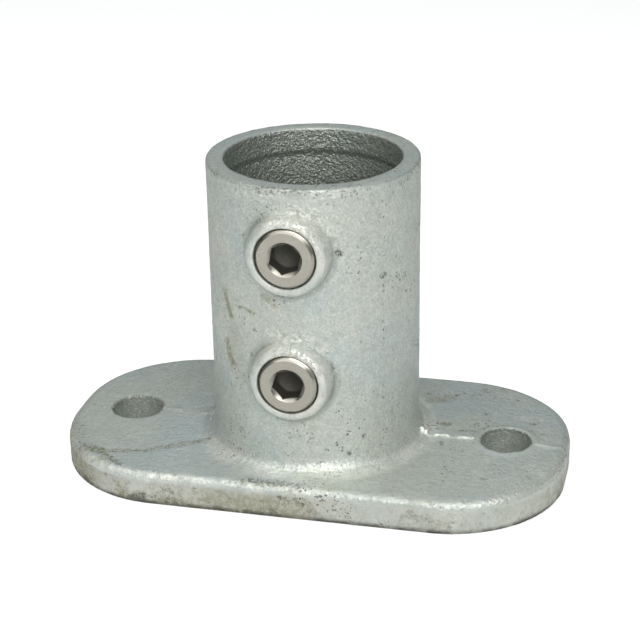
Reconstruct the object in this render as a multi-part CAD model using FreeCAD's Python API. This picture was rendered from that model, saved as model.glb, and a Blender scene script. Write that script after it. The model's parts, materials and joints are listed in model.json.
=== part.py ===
import FreeCAD, Part
import math
import os

# Base flange that clamps an upright round tube: one iron casting, made of an oblong plate, a
# sleeve and two tapped bosses, and two cup-point set screws with hexagon sockets.
# Millimetres. +Z runs up the sleeve, +X along the plate, and the bosses face -Y.
# The origin is the middle of the plate's underside.

# Plate
PLATE_LENGTH = 148.5
PLATE_WIDTH = 79.0
PLATE_THICKNESS = 10.0
END_FLAT = 10.5              # straight part of each end, between its two corner rounds
PLATE_TOP_ROUND = 2.6
PLATE_FOOT_CHAMFER = 0.8

# Fixing holes
HOLE_SPACING = 112.5
HOLE_DIAMETER = 15.0
HOLE_CHAMFER = 0.5

# Sleeve, open at both ends: it bears on the tube at a land near each end
SLEEVE_HEIGHT = 94.2         # from the underside to the rim
SLEEVE_DIAMETER = 60.0
SLEEVE_FILLET = 5.0          # where the sleeve meets the plate
RIM_CHAMFER = 0.7
BORE_DIAMETER = 50.0
BORE_CHAMFER = 0.7
LAND_LENGTH = 6.8
RELIEF_DEPTH = 0.7           # how far the bore is opened out between the lands
RELIEF_RAMP = 1.6

# Bosses
LOWER_BOSS_HEIGHT = 39.0     # from the underside to the boss's middle
UPPER_BOSS_DROP = 18.2       # from the rim down to the boss's middle
BOSS_STAND_OFF = 4.2         # from the sleeve's front to the boss's flat face
BOSS_FACE_DIAMETER = 22.0    # where flank and face would meet without their chamfer
BOSS_DRAFT = 8.0             # degrees that the flank leans
BOSS_EDGE_CHAMFER = 1.2
BOSS_FOOT_CHAMFER = 1.2      # fills the corner between flank and sleeve

# Set screws, with their thread modelled as a plain cylinder of its outside diameter
SCREW_DIAMETER = 16.66
SCREW_CLEARANCE = 0.05       # all round, between the screw and its tapped hole
SCREW_LENGTH = 9.3
SCREW_TIP_GAP = 0.3          # how far the tips stay clear of the bore
SCREW_FACE_CHAMFER = 0.8
TAPPED_MOUTH_CHAMFER = 0.3
TIP_CHAMFER = 1.5
CUP_DIAMETER = 10.0
CUP_DEPTH = 1.0
SOCKET_ACROSS_FLATS = 8.0
SOCKET_DEPTH = 4.8
LOWER_SOCKET_TURN = 12.0     # degrees from +X up to the socket's first corner
UPPER_SOCKET_TURN = 20.0

# Worked out from the above
SLEEVE_RADIUS = SLEEVE_DIAMETER / 2
BORE_RADIUS = BORE_DIAMETER / 2
UPPER_BOSS_HEIGHT = SLEEVE_HEIGHT - UPPER_BOSS_DROP
BOSS_FACE = SLEEVE_RADIUS + BOSS_STAND_OFF
SCREW_RADIUS = SCREW_DIAMETER / 2
TAPPED_RADIUS = SCREW_RADIUS + SCREW_CLEARANCE
SCREW_TIP = BORE_RADIUS + SCREW_TIP_GAP
SCREW_FACE = SCREW_TIP + SCREW_LENGTH

OVERRUN = 2.0                # how far a cutting tool runs past the face that it cuts
TOUCH = 0.01                 # how near a point is to a surface that it lies on


def vector(x, y, z):
    return FreeCAD.Vector(x, y, z)


def on_xy(u, v):
    return vector(u, v, 0)


def on_xz(u, v):
    return vector(u, 0, v)


def arc(middle_u, middle_v, radius, start, end):
    """A stretch of an outline: three points on an arc, from its start angle to its end angle."""
    angles = [math.radians(a) for a in (start, (start + end) / 2, end)]
    return [(middle_u + radius * math.cos(a), middle_v + radius * math.sin(a)) for a in angles]


def closed_face(stretches, plane):
    """The flat face inside an outline, whose stretches are points and arcs, joined by lines."""
    edges = []
    runs = [stretch if isinstance(stretch, list) else [stretch] for stretch in stretches]
    here = plane(*runs[-1][-1])
    for run in runs:
        points = [plane(*place) for place in run]
        if here.distanceToPoint(points[0]) > TOUCH:
            edges.append(Part.makeLine(here, points[0]))
        if len(points) == 3:
            edges.append(Part.Arc(*points).toShape())
        here = points[-1]
    return Part.Face(Part.Wire(edges))


def turned(stretches):
    """A solid turned about the Z axis from half of its section."""
    return closed_face(stretches, on_xz).revolve(vector(0, 0, 0), vector(0, 0, 1), 360)


def edges_through(shape, test):
    """The edges of a shape that have their ends and middle where the test says."""
    found = []
    for edge in shape.Edges:
        places = (0.0, 0.25, 0.5, 0.75, 1.0)
        span = edge.LastParameter - edge.FirstParameter
        points = [edge.valueAt(edge.FirstParameter + share * span) for share in places]
        if all(test(point) for point in points):
            found.append(edge)
    return found


def from_axis(point):
    """A point's distance from the sleeve's axis."""
    return math.hypot(point.x, point.y)


def plate():
    """The oblong plate, with its upper edge rounded and its lower edge chamfered."""
    half_length = PLATE_LENGTH / 2
    half_width = PLATE_WIDTH / 2
    radius = (PLATE_WIDTH - END_FLAT) / 2
    u = half_length - radius
    v = half_width - radius
    outline = [
        arc(u, -v, radius, -90, 0),
        arc(u, v, radius, 0, 90),
        arc(-u, v, radius, 90, 180),
        arc(-u, -v, radius, 180, 270),
    ]
    blank = closed_face(outline, on_xy).extrude(vector(0, 0, PLATE_THICKNESS))

    def on_top_edge(point):
        return point.z > PLATE_THICKNESS - TOUCH

    def on_bottom_edge(point):
        return point.z < TOUCH

    blank = blank.makeFillet(PLATE_TOP_ROUND, edges_through(blank, on_top_edge))
    return blank.makeChamfer(PLATE_FOOT_CHAMFER, edges_through(blank, on_bottom_edge))


def sleeve():
    """The sleeve's outside, still solid, with the chamfer of its rim."""
    outside = [
        (0, 0),
        (SLEEVE_RADIUS, 0),
        (SLEEVE_RADIUS, SLEEVE_HEIGHT - RIM_CHAMFER),
        (SLEEVE_RADIUS - RIM_CHAMFER, SLEEVE_HEIGHT),
        (0, SLEEVE_HEIGHT),
    ]
    return turned(outside)


def body():
    """Plate and sleeve, with the fillet between them."""
    joined = plate().fuse(sleeve())

    def at_sleeve_foot(point):
        on_sleeve = abs(from_axis(point) - SLEEVE_RADIUS) < TOUCH
        return on_sleeve and abs(point.z - PLATE_THICKNESS) < TOUCH

    return joined.makeFillet(SLEEVE_FILLET, edges_through(joined, at_sleeve_foot)).removeSplitter()


def boss(height):
    """One boss, as a blunt cone that starts inside the sleeve's wall."""
    length = BOSS_FACE - BORE_RADIUS
    face_radius = BOSS_FACE_DIAMETER / 2
    root_radius = face_radius + length * math.tan(math.radians(BOSS_DRAFT))
    root = vector(0, -BORE_RADIUS, height)
    cone = Part.makeCone(root_radius, face_radius, length, root, vector(0, -1, 0))

    def on_face_edge(point):
        return point.y < TOUCH - BOSS_FACE

    return cone.makeChamfer(BOSS_EDGE_CHAMFER, edges_through(cone, on_face_edge)[:1])


def with_boss(shape, height):
    """A shape with a boss on the sleeve's front, and the filled corner round the boss's foot."""
    shape = shape.fuse(boss(height))

    def at_boss_foot(point):
        on_sleeve = abs(from_axis(point) - SLEEVE_RADIUS) < TOUCH
        near = math.hypot(point.x, point.z - height) < BOSS_FACE_DIAMETER
        return on_sleeve and near and point.y < 0

    return shape.makeChamfer(BOSS_FOOT_CHAMFER, edges_through(shape, at_boss_foot))


def bore_core():
    """What the bore leaves out: a land near each end, and the relief between them."""
    mouth = BORE_RADIUS + BORE_CHAMFER
    relief = BORE_RADIUS + RELIEF_DEPTH
    ramp_start = LAND_LENGTH
    ramp_end = LAND_LENGTH + RELIEF_RAMP
    section = [
        (0, -OVERRUN),
        (mouth, -OVERRUN),
        (mouth, 0),
        (BORE_RADIUS, BORE_CHAMFER),
        (BORE_RADIUS, ramp_start),
        (relief, ramp_end),
        (relief, SLEEVE_HEIGHT - ramp_end),
        (BORE_RADIUS, SLEEVE_HEIGHT - ramp_start),
        (BORE_RADIUS, SLEEVE_HEIGHT - BORE_CHAMFER),
        (mouth, SLEEVE_HEIGHT),
        (mouth, SLEEVE_HEIGHT + OVERRUN),
        (0, SLEEVE_HEIGHT + OVERRUN),
    ]
    return turned(section)


def fixing_hole_core(x):
    """What one fixing hole leaves out, with the chamfers of its two mouths."""
    radius = HOLE_DIAMETER / 2
    mouth = radius + HOLE_CHAMFER
    section = [
        (0, -OVERRUN),
        (mouth, -OVERRUN),
        (mouth, 0),
        (radius, HOLE_CHAMFER),
        (radius, PLATE_THICKNESS - HOLE_CHAMFER),
        (mouth, PLATE_THICKNESS),
        (mouth, PLATE_THICKNESS + OVERRUN),
        (0, PLATE_THICKNESS + OVERRUN),
    ]
    core = turned(section)
    core.translate(vector(x, 0, 0))
    return core


def towards_front(shape, height):
    """A shape turned about Z, laid so that its +Z points out of the boss at a height."""
    shape.rotate(vector(0, 0, 0), vector(1, 0, 0), 90)
    shape.translate(vector(0, 0, height))
    return shape


def tapped_hole_core(height):
    """What one tapped hole leaves out, with the countersink of its mouth."""
    section = [
        (0, BORE_RADIUS / 2),
        (TAPPED_RADIUS, BORE_RADIUS / 2),
        (TAPPED_RADIUS, BOSS_FACE - TAPPED_MOUTH_CHAMFER),
        (TAPPED_RADIUS + TAPPED_MOUTH_CHAMFER + OVERRUN, BOSS_FACE + OVERRUN),
        (0, BOSS_FACE + OVERRUN),
    ]
    return towards_front(turned(section), height)


def flange_casting():
    """Plate, sleeve and bosses in one piece, with the bore, fixing holes and tapped holes."""
    casting = body()
    heights = (LOWER_BOSS_HEIGHT, UPPER_BOSS_HEIGHT)
    for height in heights:
        casting = with_boss(casting, height)
    casting = casting.cut(bore_core())
    for x in (-HOLE_SPACING / 2, HOLE_SPACING / 2):
        casting = casting.cut(fixing_hole_core(x))
    for height in heights:
        casting = casting.cut(tapped_hole_core(height))
    return casting


def socket_core(turn):
    """What the hexagon socket leaves out."""
    corner = SOCKET_ACROSS_FLATS / 2 / math.cos(math.radians(30))
    corners = [math.radians(turn + 60 * side) for side in range(6)]
    hexagon = [(corner * math.cos(a), corner * math.sin(a)) for a in corners]
    prism = closed_face(hexagon, on_xy).extrude(vector(0, 0, SOCKET_DEPTH + OVERRUN))
    prism.translate(vector(0, 0, SCREW_FACE - SOCKET_DEPTH))
    return prism


def set_screw(height, turn):
    """One set screw in its boss: cup point towards the bore, hexagon socket outwards."""
    cup_radius = CUP_DIAMETER / 2
    section = [
        (0, SCREW_TIP + CUP_DEPTH),
        (cup_radius, SCREW_TIP),
        (SCREW_RADIUS - TIP_CHAMFER, SCREW_TIP),
        (SCREW_RADIUS, SCREW_TIP + TIP_CHAMFER),
        (SCREW_RADIUS, SCREW_FACE - SCREW_FACE_CHAMFER),
        (SCREW_RADIUS - SCREW_FACE_CHAMFER, SCREW_FACE),
        (0, SCREW_FACE),
    ]
    screw = turned(section).cut(socket_core(turn))
    return towards_front(screw, height)


def write(name, shape):
    """Writes one node's solid to its own file and prints its size."""
    shape.exportStep("parts/" + name + ".step")
    box = shape.BoundBox
    extents = (box.XMin, box.XMax, box.YMin, box.YMax, box.ZMin, box.ZMax)
    print(name, len(shape.Solids), shape.isValid(), round(shape.Volume), [round(v, 2) for v in extents])


def main():
    os.makedirs("parts", exist_ok=True)
    write("flange_casting", flange_casting())
    write("lower_set_screw", set_screw(LOWER_BOSS_HEIGHT, LOWER_SOCKET_TURN))
    write("upper_set_screw", set_screw(UPPER_BOSS_HEIGHT, UPPER_SOCKET_TURN))


main()
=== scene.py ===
"""A tube clamp base flange: a galvanised casting and its two set screws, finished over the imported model."""

import json
import math
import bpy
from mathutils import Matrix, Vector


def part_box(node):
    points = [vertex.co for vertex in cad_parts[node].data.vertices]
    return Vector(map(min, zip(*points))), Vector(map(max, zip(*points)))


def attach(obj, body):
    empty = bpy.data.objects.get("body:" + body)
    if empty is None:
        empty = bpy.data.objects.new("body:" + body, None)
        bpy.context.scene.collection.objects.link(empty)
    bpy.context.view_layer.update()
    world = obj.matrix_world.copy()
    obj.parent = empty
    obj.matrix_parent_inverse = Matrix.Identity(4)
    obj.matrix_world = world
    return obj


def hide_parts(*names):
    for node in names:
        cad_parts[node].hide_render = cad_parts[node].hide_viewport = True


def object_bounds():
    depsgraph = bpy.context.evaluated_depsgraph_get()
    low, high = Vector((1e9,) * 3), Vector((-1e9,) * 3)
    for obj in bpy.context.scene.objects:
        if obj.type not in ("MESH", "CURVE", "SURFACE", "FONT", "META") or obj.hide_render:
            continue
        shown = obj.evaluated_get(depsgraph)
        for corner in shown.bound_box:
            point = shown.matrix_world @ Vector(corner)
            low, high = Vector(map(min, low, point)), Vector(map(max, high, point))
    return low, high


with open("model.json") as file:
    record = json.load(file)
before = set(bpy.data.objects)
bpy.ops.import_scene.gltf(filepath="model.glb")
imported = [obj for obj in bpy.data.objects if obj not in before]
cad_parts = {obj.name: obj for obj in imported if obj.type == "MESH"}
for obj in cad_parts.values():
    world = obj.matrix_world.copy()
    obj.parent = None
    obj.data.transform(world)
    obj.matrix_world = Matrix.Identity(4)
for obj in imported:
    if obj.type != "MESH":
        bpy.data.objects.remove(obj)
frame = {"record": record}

from types import SimpleNamespace

import bmesh
import bpy
from mathutils import Matrix, Quaternion, Vector, noise

bl_info = {
    "name": "Tube clamp base flange",
    "version": (1, 0, 0),
    "blender": (4, 5, 0),
    "location": "3D View > Sidebar > Base flange",
    "description": "Builds the galvanised casting, its set screws and a plain studio round them",
    "category": "Add Mesh",
}

MM = 0.001
TINY = 1e-6
BODY = "root"

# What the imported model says, in metres
CAD_LOW, CAD_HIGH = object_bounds()
MOUNTS = {mount["name"]: mount["dims"] for mount in frame["record"]["mounts"]}
BORE_RADIUS = MOUNTS["tube_socket"]["r_mm"] * MM
HOLE_RADIUS = MOUNTS["fixing_holes"]["hole_r_mm"] * MM
HOLE_SPACING = MOUNTS["fixing_holes"]["spacing_x_mm"] * MM
SCREW_BOXES = {name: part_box(name) for name in ("lower_set_screw", "upper_set_screw")}
BOSS_HEIGHTS = [(low.z + high.z) / 2 for low, high in SCREW_BOXES.values()]
SCREW_LOW, SCREW_HIGH = SCREW_BOXES["lower_set_screw"]
SCREW_FACE = -SCREW_LOW.y
SCREW_TIP = -SCREW_HIGH.y
SCREW_RADIUS = (SCREW_HIGH.x - SCREW_LOW.x) / 2

# The sleeve's outside radius and the height of the plate's top, in millimetres
SLEEVE_OUTSIDE = 30.0
PLATE_TOP = 10.0

# Steps of a full turn, segments of a round, rows of points to a thread and triangles of the finished casting
SLEEVE_STEPS = 192
MIDDLE_STEPS = 160
SCREW_STEPS = 128
HOLE_STEPS = 96
POINT_STEPS = 48
CORNER_SEGMENTS = 40
EDGE_SEGMENTS = 8
THREAD_ROWS = 10
CASTING_TRIANGLES = 190000

# The sharpest turn, in degrees, that is still shaded smooth
CASTING_CREASE = 50
SCREW_CREASE = 30

# How far a cutting tool runs on past the surface that it cuts
RUN = 2 * MM

# Wavelengths of the casting's waves and grains
SLOW_WAVE = 14 * MM
SHORT_WAVE = 5.5 * MM
PEEL_WAVE = 1.9 * MM
BORE_WAVE = 0.85 * MM
EDGE_WAVE = 2.6 * MM
SEAM_WAVE = 2.2 * MM

# Metres from the middle of the floor to its edge, and the width in millimetres that a lens is measured on
FLOOR_REACH = 6
SENSOR_WIDTH = 36

# Each lamp's azimuth and elevation in degrees, its two sides in metres and its tint
LAMPS = {
    "key": (-6, 62, (2.0, 1.0), (1, 0.995, 0.965)),
    "front": (16, 34, (0.6, 0.6), (1, 0.965, 0.93)),
    "side": (30, 28, (0.6, 0.6), (0.95, 0.99, 1)),
    "back": (-168, 46, (0.6, 0.6), (0.8, 0.92, 1)),
}


def length(name, description, default):
    """A property that holds a length, with its default in millimetres."""
    return bpy.props.FloatProperty(
        name=name, description=description, default=default * MM, unit="LENGTH", precision=5
    )


def colour(name, description, default):
    """A property that holds a colour."""
    return bpy.props.FloatVectorProperty(
        name=name, description=description, default=default, subtype="COLOR", size=3, min=0.0, max=1.0
    )


def share(name, description, default):
    """A property that holds a share, from 0 to 1."""
    return bpy.props.FloatProperty(
        name=name, description=description, default=default, subtype="FACTOR", min=0.0, max=1.0
    )


def angle(name, description, default):
    """A property that holds an angle, with its default in degrees."""
    return bpy.props.FloatProperty(
        name=name, description=description, default=math.radians(default), subtype="ANGLE", unit="ROTATION"
    )


def power(name, description, default):
    """A property that holds a lamp's power in watts."""
    return bpy.props.FloatProperty(name=name, description=description, default=default, unit="POWER")


class CastingSizes(bpy.types.PropertyGroup):
    """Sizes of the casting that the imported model's box and mounts don't give."""

    plate_thickness: length("Plate thickness", "From the underside to the plate's top", PLATE_TOP)
    end_flat: length("End flat", "Straight part of each end, between its corner rounds", 10.5)
    plate_top_round: length("Plate top round", "Round along the plate's upper edge", 2.6)
    plate_foot_round: length("Plate foot round", "Round along the plate's lower edge", 1.0)
    hole_round: length("Hole round", "Round at the mouths of the fixing holes", 0.55)
    hole_flare: length("Hole flare", "How much the core's draft widens a fixing hole at its mouths", 0.15)
    sleeve_radius: length("Sleeve radius", "Outside radius of the sleeve", SLEEVE_OUTSIDE)
    sleeve_fillet: length("Sleeve fillet", "Hollow round between sleeve and plate", 5.0)
    rim_round: length("Rim round", "Round at the rim's outer edge", 0.6)
    bore_round: length("Bore round", "Round at the bore's mouths", 0.4)
    land: length("Land", "Length of the bearing land at each end of the bore", 6.8)
    relief: length("Relief", "How far the bore opens out between its lands", 0.7)
    relief_ramp: length("Relief ramp", "Length of the slope from a land to the relief", 1.2)
    boss_stand_off: length("Boss stand-off", "From the sleeve's front to a boss's face", 4.2)
    boss_face_radius: length("Boss face radius", "Radius of a boss's face before its edge is rounded", 11.0)
    boss_draft: angle("Boss draft", "Lean of a boss's flank", 8.0)
    boss_edge_round: length("Boss edge round", "Round at a boss's face", 1.8)
    tapped_radius: length("Tapped hole radius", "Radius of the holes that hold the set screws", 8.38)
    crown: length("Crown", "How far the plate's top rises from its edges to the parting plane", 0.4)
    seam_width: length("Seam width", "Width of the flash left where the two mould halves met", 1.5)
    seam_height: length("Seam height", "Height of that flash", 1.0)
    lip: length("Hole lip", "Height of the lip that the zinc left round the right fixing hole", 0.5)
    skin: length("Skin step", "Grid step at which the parts are merged into one skin", 0.4)
    waviness: length("Waviness", "Height of the slow waves in the cast surface", 0.14)
    peel: length("Orange peel", "Height of the grain in the cast surface", 0.06)
    wander: length("Edge wander", "How far the edges of bosses, holes and rim wander", 0.22)
    bore_grain: length("Bore grain", "Height of the coarse grain that the sand core left in the bore", 0.13)


class ScrewSizes(bpy.types.PropertyGroup):
    """Sizes of the set screws that their boxes don't give."""

    pitch: length("Thread pitch", "Pitch of a 3/8 inch pipe thread, 19 to the inch", 1.337)
    thread_depth: length("Thread depth", "From crest to root", 0.8)
    face_chamfer: length("Face chamfer", "Chamfer round the outer face", 0.8)
    tip_chamfer: length("Tip chamfer", "Chamfer round the cup point", 1.5)
    cup_radius: length("Cup radius", "Radius of the cup point's edge", 5.0)
    cup_depth: length("Cup depth", "Depth of the cup", 1.0)
    across_flats: length("Socket across flats", "Size of the hexagon key", 8.0)
    socket_depth: length("Socket depth", "Depth of the hexagon", 4.8)
    mouth: length("Socket mouth", "Width of the cone at the socket's mouth, past its corners", 0.35)
    lower_turn: angle("Lower socket turn", "From +X up to the lower hexagon's first corner", 12.0)
    upper_turn: angle("Upper socket turn", "From +X up to the upper hexagon's first corner", 20.0)


class Finishes(bpy.types.PropertyGroup):
    """Colours and textures of the surfaces."""

    zinc: colour("Zinc", "Colour of the zinc coat", (0.58, 0.64, 0.635))
    zinc_warm: colour("Warm zinc", "Colour of the coat's warmer areas", (0.64, 0.665, 0.615))
    zinc_pale: colour("Pale zinc", "Colour of the coat's lighter patches", (0.74, 0.76, 0.70))
    # The crust colour is also painted as highlight on the bosses' upper right, along the left of the plate's
    # top round and on the fillet, and as glints in the fixing holes.
    crust_and_highlight: colour("Crust", "Colour of the rough pale crust on the bosses and the edges", (0.95, 0.95, 0.88))
    # Also painted as shade in the hollows at the bosses' feet, on the plate's top round right of the middle
    # and on the rim.
    zinc_deep: colour("Deep zinc", "Colour in the low spots of the coat's grain", (0.33, 0.37, 0.34))
    # Besides the bore's own darker coat, this colour is painted as shade on the walls of the fixing holes and
    # further down the bore.
    bore: colour("Bore", "Colour of the coat inside the bore", (0.35, 0.38, 0.345))
    stain: colour("Stain", "Olive brown left by handling and storage", (0.21, 0.195, 0.10))
    # Besides specks and pits, this colour paints shade into the gaps round the screws and the dark band along
    # the plate's foot.
    dirt: colour("Dirt", "Dark specks and pits", (0.07, 0.07, 0.055))
    edge_tone: colour("Edge tone", "Colour of the plate's side face, dulled by handling", (0.57, 0.565, 0.51))
    zinc_metal: share("Zinc metallic", "How metallic the coat looks", 0.5)
    zinc_rough: share("Zinc roughness", "Roughness of the coat", 0.42)
    crust_cover: share("Crust cover", "How much the crust hides the coat under it", 0.85)
    stain_cover: share("Stain cover", "How much the stain hides the coat under it", 0.8)
    dirt_cover: share("Dirt cover", "How much the dirt hides the coat under it", 0.78)
    steel: colour("Screw steel", "Colour of the screws' plating", (0.52, 0.495, 0.44))
    steel_dull: colour("Dull steel", "Colour of the duller clouds in the plating", (0.48, 0.45, 0.41))
    # Painted shade, not black oxide: this colour darkens the inside of each socket.
    socket: colour("Socket", "Colour of the black oxide down in the sockets", (0.085, 0.085, 0.075))
    steel_rough: share("Screw roughness", "Roughness of the screws' plating", 0.3)


class Studio(bpy.types.PropertyGroup):
    """Camera, lamps, floor and backdrop."""

    azimuth: angle("Camera azimuth", "Turn of the camera round the part, from the front to its right", 13.56)
    elevation: angle("Camera elevation", "Height of the camera above the floor", 23.75)
    roll: angle("Camera roll", "Tilt of the camera about its own axis", 0.934)
    distance: length("Camera distance", "From the camera to the point that it looks at", 491.5)
    lens: bpy.props.FloatProperty(
        name="Lens", description="Focal length in millimetres on a 36 mm sensor", default=95.38
    )
    aim_across: length("Aim across", "How far right of the sleeve's axis the camera looks", 1.22)
    aim_height: length("Aim height", "Height of the point that the camera looks at", 43.98)
    key: power("Key lamp", "Power of the wide lamp above the front", 8.3)
    front: power("Front lamp", "Power of the lamp before the front", 3.1)
    side: power("Side lamp", "Power of the low lamp at the front's right", 2.0)
    back: power("Back lamp", "Power of the lamp behind", 0.75)
    ambient: share("Ambient", "Strength of the light from all round", 0.14)
    ambient_tint: colour("Ambient tint", "Colour of the light from all round", (0.90, 1.0, 0.98))
    floor: colour("Floor", "Colour of the floor and backdrop", (0.9, 0.9, 0.9))
    floor_glow: share("Floor glow", "How much brighter the floor looks than its lamps make it", 0.6)


class FlangeSettings(bpy.types.PropertyGroup):
    """Everything that a user would change."""

    casting: bpy.props.PointerProperty(type=CastingSizes)
    screws: bpy.props.PointerProperty(type=ScrewSizes)
    finishes: bpy.props.PointerProperty(type=Finishes)
    studio: bpy.props.PointerProperty(type=Studio)


# Places


def on_sleeve(turn, height):
    """A place on the sleeve in metres, from its turn to the right in degrees and its height in mm."""
    bearing = math.radians(turn)
    return Vector((SLEEVE_OUTSIDE * math.sin(bearing), -SLEEVE_OUTSIDE * math.cos(bearing), height)) * MM


def on_plate(x, y, height=PLATE_TOP + 0.2):
    """A place on the plate in metres, from millimetres."""
    return Vector((x, y, height)) * MM


def strokes(lay, *rows):
    """Strokes laid on the plate or the sleeve: each has two ends, a half width in mm and a strength."""
    return [(lay(*start), lay(*end), half_width, strength) for start, end, half_width, strength in rows]


# The flash where the mould halves met: stretches of the plate seen from above, with their share of the height
SEAM = [(on_plate(*start, 0), on_plate(*end, 0), part) for start, end, part in (
    ((30, -0.2), (33, -1.2), 1.0),
    ((33, -1.2), (36.5, -1.0), 0.9),
    ((36.5, -1.0), (42, -1.2), 0.9),
    ((42, -1.2), (46.8, -0.9), 1.0),
    ((65, -1.2), (68.5, -1.1), 0.6),
    ((68.5, -1.1), (74.2, -1.4), 0.3),
    ((-48, 0.5), (-42, 0.2), 0.2),
    ((-36, -0.5), (-32, -0.4), 0.35),
)]

# Strokes of olive stain
OLIVE_MARKS = strokes(
    on_plate,
    ((-74, -6, 5), (-74, 14, 5), 5.0, 0.8),
    ((-72, -16, 5), (-64, -29, 4), 6.0, 0.9),
    ((-64, -29, 4), (-58, -33, 3), 4.0, 0.5),
    ((-24, -39.5, 3), (4, -39.5, 3), 4.2, 0.8),
    ((73, -8, 4), (70, -20, 4), 3.5, 0.35),
    ((-48, 2), (-30, 0.5), 0.5, 0.3),
    ((-64, -27, 9), (-57, -29.5), 1.7, 0.9),
    ((-57, -30), (-50, -35.5), 0.8, 0.7),
    ((-57, -29), (-45, -26.5), 1.1, 0.45),
    ((-45, -26.5), (-29, -16.5), 1.1, 0.4),
    ((-57, -33, 9), (-55, -33.5, 9), 1.6, 0.6),
    ((30, 22), (36, 25), 2.4, 0.5),
    ((36.5, 7), (38, 7), 1.5, 1.0),
    ((-45, -39, 2), (-42, -39.2, 3), 1.6, 0.7),
    ((-34, -39.5, 1.5), (-31, -39.5, 2), 1.3, 0.6),
    ((-7, -39.5, 2), (0, -39.5, 1), 1.8, 0.8),
    ((40, -39.5, 5), (46, -39, 3), 0.9, 0.5),
    ((10, -37, 9.5), (24, -37, 9.5), 1.0, 0.35),
    ((-14, -37.5, 9), (-2, -37.5, 9), 1.3, 0.6),
) + strokes(
    on_sleeve,
    ((-43, 60), (-38, 54), 1.2, 1.0),
    ((-42, 45), (-38, 39), 1.4, 1.0),
    ((-33, 57.8), (-20, 57), 0.5, 1.0),
    ((-14, 62.6), (-9, 61), 1.3, 0.6),
    ((-36, 50), (-30, 36), 2.6, 0.25),
)

# Dotted lines of dirt along edges and scratches
DIRT_LINES = strokes(
    on_plate,
    ((-64, -27, 9), (-57, -29.5), 2.0, 1.0),
    ((-57, -30), (-50, -35.5), 1.2, 0.9),
    ((-57, -29), (-45, -26.5), 1.1, 0.7),
    ((-45, -26.5), (-29, -16.5), 1.5, 0.9),
    ((-12, -37.0, 9.6), (3, -37.2, 9.6), 1.5, 1.0),
    ((-45, -37.0, 9.6), (-37, -37.2, 9.6), 0.8, 0.7),
    ((74.2, 10, 9), (73.5, -12, 9), 0.9, 0.7),
) + strokes(
    on_sleeve,
    ((-16, 93.6), (10, 93.8), 1.4, 1.0),
    ((-54, 93.5), (-47, 93.9), 1.2, 0.8),
    ((64, 92), (80, 93), 1.0, 0.8),
)

# Single dark flaws
DARK_MARKS = strokes(
    on_plate,
    ((29, 26), (29.4, 26), 0.7, 0.9),
    ((37.5, 27), (38, 27.5), 0.6, 0.9),
    ((39.5, 29), (39.8, 29), 0.5, 0.8),
    ((45, 33), (46, 33), 0.6, 0.8),
    ((48, 16), (48.3, 16), 0.6, 0.9),
    ((53, 35), (54, 35), 0.6, 0.8),
    ((56, 27), (56.3, 27), 0.6, 0.9),
    ((42, 3.5), (47, 4.2), 0.5, 0.9),
    ((31.5, 4), (32, 3), 0.7, 0.9),
    ((38, -4.6), (38.4, -6.4), 0.7, 0.8),
    ((52.7, -23.5), (53.5, -23.5), 0.9, 0.6),
    ((64.9, -19.5), (65.4, -20.5), 0.9, 0.5),
    ((62.5, 12), (64, 13), 0.8, 0.8),
    ((66, 6), (67, 6.3), 0.5, 0.7),
    ((73.4, -1.6), (74, -3, 9.4), 0.5, 0.8),
) + strokes(
    on_sleeve,
    ((-20.5, 52), (-20, 52), 0.55, 1.0),
    ((25.5, 76.3), (27, 75.8), 0.9, 1.0),
    ((51, 67), (53, 67.5), 0.9, 0.9),
    ((21, 43.5), (22, 42.5), 0.7, 0.8),
    ((-23, 44.5), (-23, 44), 0.5, 0.8),
    ((69, 64), (70, 65), 0.5, 0.9),
    ((30.4, 15.5), (31, 15.2), 0.55, 1.0),
    ((39, 20), (39.5, 20), 0.55, 1.0),
)

# Patches where dark specks lie close together
SPECK_PATCHES = strokes(
    on_plate,
    ((-64, -27, 8), (-50, -35.5), 1.4, 1.0),
    ((-57, -29), (-45, -26.5), 1.1, 1.0),
    ((-45, -26.5), (-29, -16.5), 1.0, 1.0),
    ((-73, -8, 8), (-66, -26, 8), 3.5, 0.8),
    ((73.5, 8, 9), (72.5, -16, 9), 1.6, 0.9),
    ((-36, 2.5), (-31.5, 2.5), 1.2, 0.9),
    ((30, 24), (46, 30), 3.5, 0.7),
    ((-14, -37, 9.6), (4, -37, 9.6), 1.4, 1.0),
) + strokes(
    on_sleeve,
    ((20, 17.5), (38, 24), 1.5, 1.0),
    ((27, 17), (33, 15.5), 1.3, 0.9),
    ((25, 30), (30, 26), 1.6, 1.0),
    ((52, 91), (52, 20), 0.45, 0.9),
    ((-30, 92.5), (20, 92.5), 1.6, 0.8),
)

# Patches of rough pale crust
CRUST_MARKS = strokes(
    on_plate,
    ((-58, -35, 8.5), (-40, -39, 8), 1.0, 0.6),
    ((-33, -1.3), (-32, -1.6), 0.7, 0.9),
    ((73.5, -2.6, 9.6), (74, -4, 9), 0.8, 0.8),
) + strokes(
    on_sleeve,
    ((2, 88.5), (15, 86.5), 2.2, 0.8),
    ((16, 86), (25, 79), 2.2, 0.7),
    ((-11, 51.5), (5, 52.5), 1.7, 0.9),
    ((8, 51), (20, 46), 2.4, 0.8),
    ((-28, 91.5), (-6, 92), 1.8, 0.6),
    ((16, 92.5), (30, 92.5), 1.4, 0.6),
)

# Pale smudges
PALE_MARKS = strokes(
    on_plate,
    ((58, 16), (64, 15), 1.8, 0.9),
    ((65, -14), (69, -19), 2.0, 0.9),
    ((50, -20), (56, -26), 1.4, 0.5),
)


# Shapes


def bevelled(bm, geom, radius, segments, affect):
    """Rounds corners of a flat outline or edges of a solid."""
    bmesh.ops.bevel(bm, geom=geom, offset=radius, segments=segments, profile=0.5, affect=affect, material=-1)


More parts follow.
